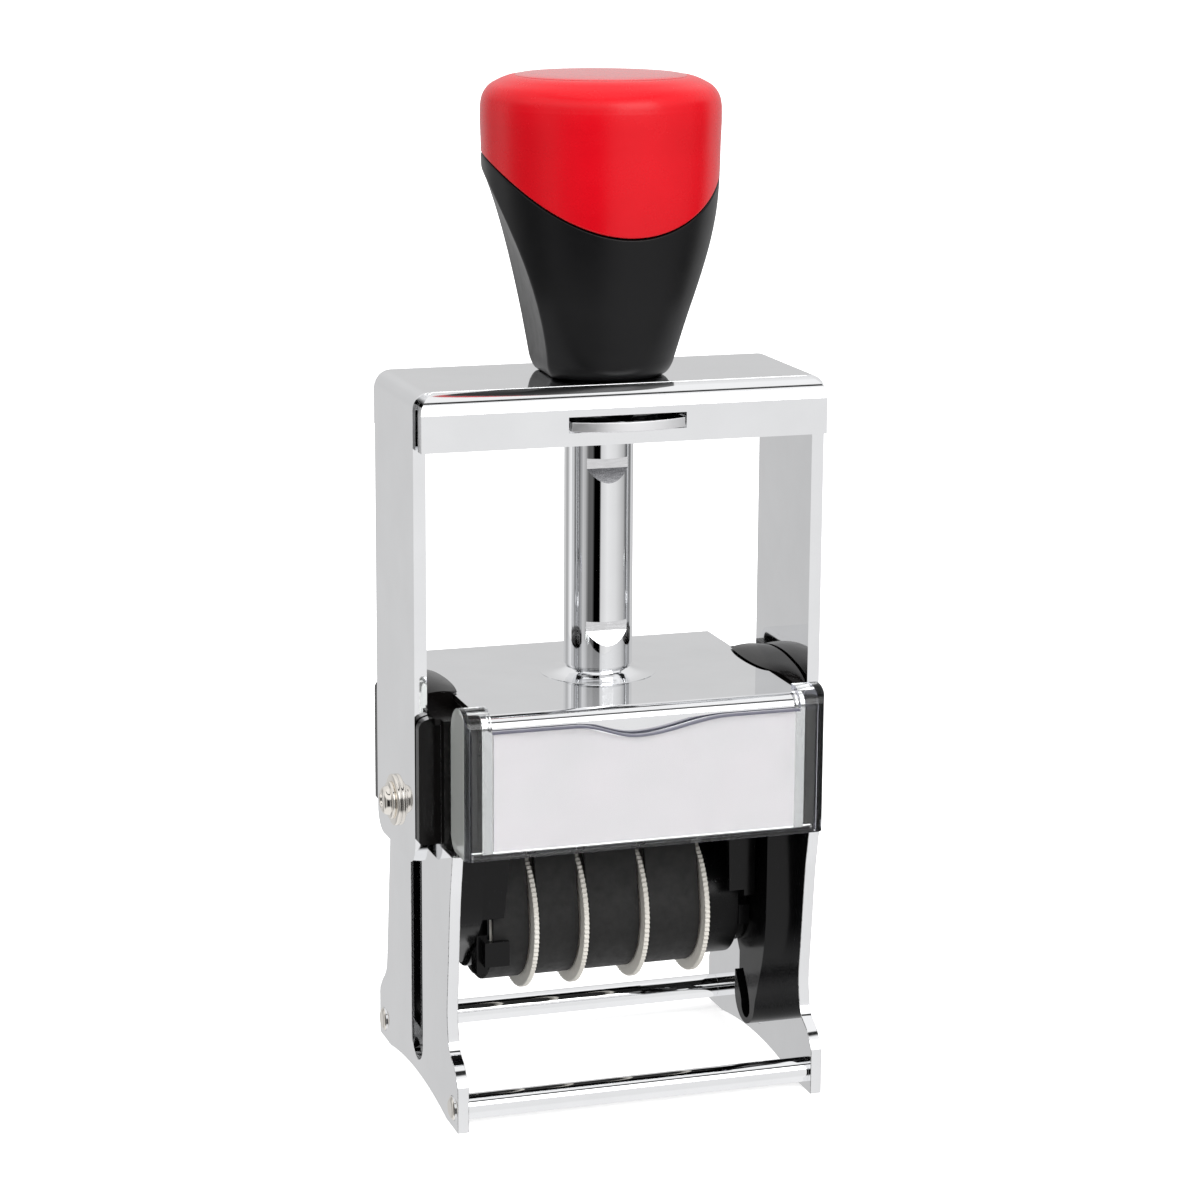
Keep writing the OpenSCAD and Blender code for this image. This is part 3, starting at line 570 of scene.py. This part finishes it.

# ------------------------------------------------------------------ return spring


def make_spring():
    r, w, turns, k, n = 2.85, 0.42, 23, 40, 12
    z0, z1 = 72.0 + w, 155.5 - w
    m = turns * k
    verts, faces = [], []
    for i in range(m + 1):
        t = i / k
        lift = 0.9 * t if t < 1 else ((z1 - z0) - 0.9 * (turns - t) if t > turns - 1 else 0.9 + (z1 - z0 - 1.8) * (t - 1) / (turns - 2))
        a = 2 * math.pi * i / k
        for j in range(n):
            b = 2 * math.pi * j / n
            verts.append(((r + w * math.cos(b)) * math.cos(a), (r + w * math.cos(b)) * math.sin(a), z0 + lift + w * math.sin(b)))
    for i in range(m):
        for j in range(n):
            j2 = (j + 1) % n
            faces.append([i * n + j, (i + 1) * n + j, (i + 1) * n + j2, i * n + j2])
    faces += [list(range(n)), [m * n + j for j in reversed(range(n))]]
    return make("return_spring_coil", verts, faces, M["steel"])


spring = piece(make_spring(), "base", "bright_steel", "return_spring")
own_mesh(spring)

# ------------------------------------------------------------------ shaft and collar
shaft = lathe("guide_shaft_rod", [(0, 63.6), (4.6, 63.6), (4.6, 65.8), (5.05, 65.8), (5.05, 66.9), (5.2, 67.05), (5.36, 67.2), (5.45, 67.4), (5.45, 116.4), (5.3, 116.75), (4.85, 117), (3.7, 117), (3.7, 72), (0, 72)], 160, mat=M["chrome_turned"])
for z in (100.9, 74.9):
    boolean(shaft, extrude("c", [(-8, z), (-4.3, z), (-4.3, z - 1.65), (-5.55, z - 4.1), (-8, z - 4.1)], "x", -8, 8))
clean(shaft)
shaft.data.materials.append(M["machined"])
shaft.data.materials.append(M["machined_dark"])
# the notch faces get the machined finish; the upward faces of the upper notch get its darker copy as painted shade
for p in shaft.data.polygons:
    c = p.center / MM
    if c.y < -3.9 and (abs(p.normal.z) > 0.3 or (abs(p.normal.y + 1) < 0.02 and math.hypot(c.x, c.y) < 5.3)):
        if 70.5 < c.z < 75.1 or 96.5 < c.z < 101.1:
            p.material_index = 2 if c.z > 90 and p.normal.z > 0.3 else 1
shaft.data.set_sharp_from_angle(angle=math.radians(12))
piece(shaft, "base", "chrome_turned", "guide_shaft")
col = lathe("shaft_flare", [(5.06, 65.8), (9.2, 65.8)] + curve([(9.2, 65.86), (8.2, 65.94), (7.2, 66.08), (6.2, 66.34), (5.6, 66.62), (5.25, 66.86)], 8) + [(5.06, 66.88)], 160, mat=M["chrome_turned"], closed=True)
col.data.set_sharp_from_angle(angle=math.radians(30))
piece(col, "base", "chrome_turned", "shaft_collar")

# ------------------------------------------------------------------ pivot rivets and their washers
RIVET = [(0, 21.1), (1.7, 21.1), (2, 21.4), (2, 33.9), (2.93, 33.9), (3, 33.97), (3, 34.24), (2.96, 34.34), (2.86, 34.42), (2.7, 34.46), (2.42, 34.48), (2.35, 34.54), (2.32, 34.7), (2.27, 34.95),
         (2.15, 35.2), (1.95, 35.42), (1.7, 35.56), (1.42, 35.63), (1.2, 35.63), (1.06, 35.57), (0.98, 35.45), (0.95, 35.3), (0.85, 35.2), (0.5, 35.16), (0, 35.15)]
WASHER = [(2.02, 33.2), (4.06, 33.2), (4.1, 33.24), (4.1, 33.66), (4.06, 33.78), (3.97, 33.86), (3.85, 33.9), (2.02, 33.9)]
for tag, s in (("left", -1), ("right", 1)):
    o = lathe(tag + "_rivet_turned", [(r, s * x) for r, x in RIVET], 96, "x", (0, 47.2), M["warm"])
    o.data.set_sharp_from_angle(angle=math.radians(50))
    piece(o, "handle", "warm_chrome", tag + "_pivot_rivet")
    o = lathe(tag + "_washer_turned", [(r, s * x) for r, x in WASHER], 96, "x", (0, 47.2), M["warm"], closed=True)
    o.data.set_sharp_from_angle(angle=math.radians(50))
    piece(o, "handle", "warm_chrome", tag + "_pivot_washer")

# ------------------------------------------------------------------ clear label window


def dip(x):
    return 63.6 - 2.1 * math.cos(min(abs(x + 1.5) / (10 if x < -1.5 else 15), 1) * math.pi / 2) ** 2


def make_window():
    f, r, wx, b = -25.5, 1.2, 29.0, -17.2
    outer = extrude("label_window_shell", [(-wx, b)] + arc(-wx + r, f + r, r, 180, 270, 10) + arc(wx - r, f + r, r, 270, 360, 10) + [(wx, b)], "z", 43, 68)
    boolean(outer, extrude("c", arc(b - 2.6, 46.5, 2.6, 0, -90, 10) + [(f - 1, 43.9), (f - 1, 63.6), (f, 63.6)] + arc(f + 3.4, 63.6, 3.4, 180, 90, 16) + arc(b - 4.6, 62.4, 4.6, 90, 0, 16), "x", -40, 40), "INTERSECT")
    inner = extrude("c", [(-wx + 1, -10)] + arc(-wx + r, f + r, r - 1, 180, 270, 4) + arc(wx - r, f + r, r - 1, 270, 360, 4) + [(wx - 1, -10)], "z", 40, 80)
    ceiling = extrude("c2", [(f - 3, 30), (f - 3, 63.6), (f + 1, 63.6)] + arc(f + 3.4, 63.6, 2.4, 180, 90, 16) + [(f + 4.4, 66), (f + 4.4, 90), (0, 90), (0, 30)], "x", -50, 50)
    boolean(inner, ceiling, "INTERSECT")
    boolean(outer, inner)
    boolean(outer, extrude("c", [(-24.8, 80)] + [(x, dip(x)) for x in np.linspace(-24.8, 24.8, 63)] + [(24.8, 80)], "y", -30, -15))
    boolean(outer, box("c", (-27.6, f + 0.9, 43.9), (27.6, -22.9, 44.6)), "UNION")
    clean(outer)
    outer.data.materials.clear()
    for m in ("clear", "clear_rim", "clear_side_painted_shade", "clear_wall"):
        outer.data.materials.append(M[m])
    # the cut upper edge, the walls and corners that lie against the black moulding (tinted dark as painted shade for
    # the moulding seen through them), and the left-hand wall
    for p in outer.data.polygons:
        c, n = p.center / MM, p.normal
        rim = n.z > 0.6 and c.y < -24.3 and c.z < 64.2 and abs(c.x) < 24.9
        corner = c.x < -27.75 and abs(n.x) > 0.1 and n.y < -0.1
        p.material_index = 1 if rim else (2 if c.x > 27.75 or corner else (3 if c.x < -28.9 else 0))
    # a low bead along the cut edge
    bm = bmesh.new()
    bm.from_mesh(outer.data)
    rows, new = [], []
    for x in np.linspace(-24.7, 24.7, 95):
        z = dip(x)
        rows.append([bm.verts.new((x * MM, y * MM, h * MM)) for y, h in ((-25.38, z - 0.04), (-24.62, z - 0.04), (-24.62, z + 0.34), (-25.38, z + 0.34))])
    for a, b in zip(rows, rows[1:]):
        for i in range(4):
            j = (i + 1) % 4
            new.append(bm.faces.new((a[i], a[j], b[j], b[i])))
    new += [bm.faces.new(rows[0]), bm.faces.new(rows[-1][::-1])]
    for f in new:
        f.material_index, f.smooth = 1, True
    bmesh.ops.recalc_face_normals(bm, faces=new)
    bm.to_mesh(outer.data)
    bm.free()
    soften(outer, 0.16, 3, 30)
    outer.modifiers["edge"].material = 1
    return outer


piece(make_window(), "base", "clear_window", "label_window")

# ------------------------------------------------------------------ inked felt
felt = box("ink_felt_block", (-20.8, -12.9, 57.1), (20.8, 12.9, 60.1), M["felt"])
soften(felt, 0.6, 4, 30)
piece(felt, "ink_pad", "ink_felt", "ink_pad_felt")

# ------------------------------------------------------------------ carried-over CAD nodes
def part_finish(node, mat, where):
    """A second finish on some faces of a carried-over node; where(centre in mm, normal) picks them."""
    me = N[node].data
    me.materials.append(mat)
    i = len(me.materials) - 1
    for p in me.polygons:
        if where(p.center / MM, p.normal):
            p.material_index = i


def inner_side(c, n):
    """The inside of the folded cover, which gets the near-black plating as painted shade."""
    if abs(n.x) > 0.5:
        return False
    if c.z > 63.6 and (c.y < -21.8 or c.y > 20.4):
        return math.hypot(c.y + 21.8 if c.y < 0 else c.y - 20.4, c.z - 63.6) < 1.75
    return c.z < 65.3 and -23.5 < c.y < 22.1


for n in ("left_leg_plate", "right_leg_plate"):
    dress(n, M["chrome"], 0.15, 3, edge_mat=M["edge"])
dress("yoke", M["chrome_yoke"], 0.15, 3, edge_mat=M["edge"])
part_finish("yoke", M["satin"], lambda c, n: abs(n.x) > 0.9 and abs(c.y) > 12.2 and abs(c.x) > 32.2)
dress("housing_cover", M["chrome_cover"], 0.15, 3, edge_mat=M["edge"])
part_finish("housing_cover", M["inside"], inner_side)
for n in ("front_cross_rod", "rear_cross_rod", "lock_tongue"):
    dress(n, M["chrome_turned"], 0.12, 3)
part_finish("lock_tongue", M["satin"], lambda c, n: abs(n.z) < 0.5)
for n in ("front_cross_rod", "rear_cross_rod"):
    part_finish(n, M["warm"], lambda c, n: abs(c.x) > 30.0)
for n in ("shaft_nut", "knob_screws", "lock_spring", "wheel_axle", "left_follower_pin", "right_follower_pin", "left_slot_bush", "right_slot_bush"):
    dress(n, M["steel"], 0.06, 2)
for n in ("left_cheek", "right_cheek"):
    dress(n, M["gloss"], 0.2, 3)
for n in ("left_cam_guide", "right_cam_guide", "date_frame"):
    dress(n, M["lobe"], 0.15, 3)
for n in ("left_pad_rail", "right_pad_rail", "ink_pad_tray", "shaft_bushing", "band_anvil", "wheel_spacer"):
    dress(n, M["black"], 0.15, 3)
dress("plate_holder", M["black"], 0.0)
dress("label_card", M["card"], 0.0)
dress("text_plate", M["plate"], 0.0)
for n in ("day_tens_band", "day_units_band", "month_band", "year_band"):
    dress(n, M["band"], 0.12, 2)
for n in ("day_tens_wheel", "day_units_wheel", "month_wheel", "year_wheel"):
    dress(n, M["wheel"], 0.06, 2)


# ------------------------------------------------------------------ stage and light
def make_floor():
    me = bpy.data.meshes.new("floor")
    s = 6.0
    me.from_pydata([(-s, -s, 0), (s, -s, 0), (s, s, 0), (-s, s, 0)], [], [[0, 1, 2, 3]])
    o = bpy.data.objects.new("floor", me)
    COL.objects.link(o)
    k = Mat("pale_floor").set(Roughness=0.95, Specular_IOR_Level=0.0, Emission_Color=(1, 1, 1, 1), Emission_Strength=0.6)
    k.link(k.ramp(k.noise(2.0, 2.0), [(0.3, (0.90, 0.90, 0.90)), (0.7, (0.915, 0.915, 0.915))]), "Base Color")
    me.materials.append(k.m)
    o.visible_glossy = False
    o.visible_diffuse = False


make_floor()


def make_world():
    """A plain light tent: pale walls, one dark gap at the front, an open back above eye height, and a soft ceiling."""
    w = bpy.data.worlds.new("studio")
    SC.world = w
    w.use_nodes = True
    t = w.node_tree
    bg = t.nodes["Background"]
    co = t.nodes.new("ShaderNodeTexCoord")
    sep = t.nodes.new("ShaderNodeSeparateXYZ")
    t.links.new(co.outputs["Generated"], sep.inputs[0])

    def m(op, *args):
        n = t.nodes.new("ShaderNodeMath")
        n.operation = op
        for i, v in enumerate(args):
            if isinstance(v, (int, float)):
                n.inputs[i].default_value = v
            else:
                t.links.new(v, n.inputs[i])
        return n.outputs[0]

    def ramp(src, stops):
        r = t.nodes.new("ShaderNodeValToRGB")
        els = r.color_ramp.elements
        while len(els) < len(stops):
            els.new(0.5)
        for e, (pos, v) in zip(els, stops):
            e.position = pos
            e.color = (v, v, v * 1.004, 1)
        t.links.new(src, r.inputs["Fac"])
        return r.outputs["Color"]

    def step(src, lo, hi):
        r = t.nodes.new("ShaderNodeMapRange")
        r.interpolation_type = "SMOOTHSTEP"
        r.inputs["From Min"].default_value = lo
        r.inputs["From Max"].default_value = hi
        t.links.new(src, r.inputs["Value"])
        return r.outputs["Result"]

    def mix(f, a, b):
        n = t.nodes.new("ShaderNodeMix")
        n.data_type = "RGBA"
        t.links.new(f, n.inputs["Factor"])
        for i, v in ((6, a), (7, b)):
            if isinstance(v, tuple):
                n.inputs[i].default_value = v
            else:
                t.links.new(v, n.inputs[i])
        return n.outputs[2]

    x, y, z = sep.outputs
    # turn about the upright axis, 0 towards the photographer at the front left, positive to the right
    cx, cy = -math.sin(math.radians(18)), -math.cos(math.radians(18))
    fwd = m("ADD", m("MULTIPLY", x, cx), m("MULTIPLY", y, cy))
    side = m("ADD", m("MULTIPLY", x, -cy), m("MULTIPLY", y, cx))
    turn = m("ADD", m("DIVIDE", m("ARCTAN2", side, fwd), 2 * math.pi), 0.5)
    rise = m("ADD", m("DIVIDE", m("ARCSINE", z), math.pi), 0.5)
    walls = ramp(turn, [(d / 360 + 0.5, v) for d, v in (
        (-180, 0.645), (-146, 0.65),(-140, 0.58), (-132, 0.40), (-122, 0.45), (-112, 0.85), (-101, 0.95), (-95, 0.3), (-84, 0.2), (-72, 0.08), (-62, 0.3), (-52, 0.6),
        (-42, 0.45), (-34, 0.12), (-20, 0.12), (-14, 0.0), (5, 0.0), (8, 0.7), (30, 0.88), (60, 0.78), (80, 0.6), (95, 0.45), (104, 0.15), (112, 0.03), (120, 0.2),
        (128, 0.75), (150, 0.6), (180, 0.645))])
    front = ramp(rise, [(d / 180 + 0.5, v) for d, v in ((0, 0.85), (10, 0.95), (22, 1.05), (51, 1.05), (53.5, 0.03), (60, 0.03), (62.5, 1.0), (90, 1.0))])
    back = ramp(rise, [(d / 180 + 0.5, v) for d, v in ((10, 0.655), (30, 0.85), (60, 0.9), (66, 1.0), (90, 1.0))])
    upper = mix(step(fwd, -0.12, 0.18), back, front)
    all_round = mix(step(z, 0.14, 0.42), walls, upper)
    whole = mix(step(m("MULTIPLY", z, -1.0), 0.5, 0.75), all_round, (0.93, 0.93, 0.935, 1))
    t.links.new(whole, bg.inputs["Color"])
    bg.inputs["Strength"].default_value = 1.0


make_world()


def area(name, at, aim, size, power, colour=(1, 1, 1)):
    d = bpy.data.lights.new(name, "AREA")
    d.shape, d.size, d.size_y, d.energy, d.color = "RECTANGLE", size[0], size[1], power, colour
    o = bpy.data.objects.new(name, d)
    COL.objects.link(o)
    o.location = at
    o.rotation_mode = "QUATERNION"
    o.rotation_quaternion = (Vector(aim) - Vector(at)).to_track_quat("-Z", "Y")
    return o


def sky(name, from_dir, spread, strength):
    d = bpy.data.lights.new(name, "SUN")
    d.energy, d.angle = strength, math.radians(spread)
    o = bpy.data.objects.new(name, d)
    COL.objects.link(o)
    o.rotation_mode = "QUATERNION"
    o.rotation_quaternion = (-Vector(from_dir)).to_track_quat("-Z", "Y")
    return o


sky("top_diffuser", (-0.26, -0.55, 1.0), 95, 1.75).visible_glossy = False
area("front_softbox", (0.35, -1.1, 0.75), (0, 0, 0.08), (0.9, 0.7), 6.0)
SC.view_settings.view_transform = "Standard"
SC.view_settings.look = "None"

# ------------------------------------------------------------------ close
bpy.context.view_layer.update()
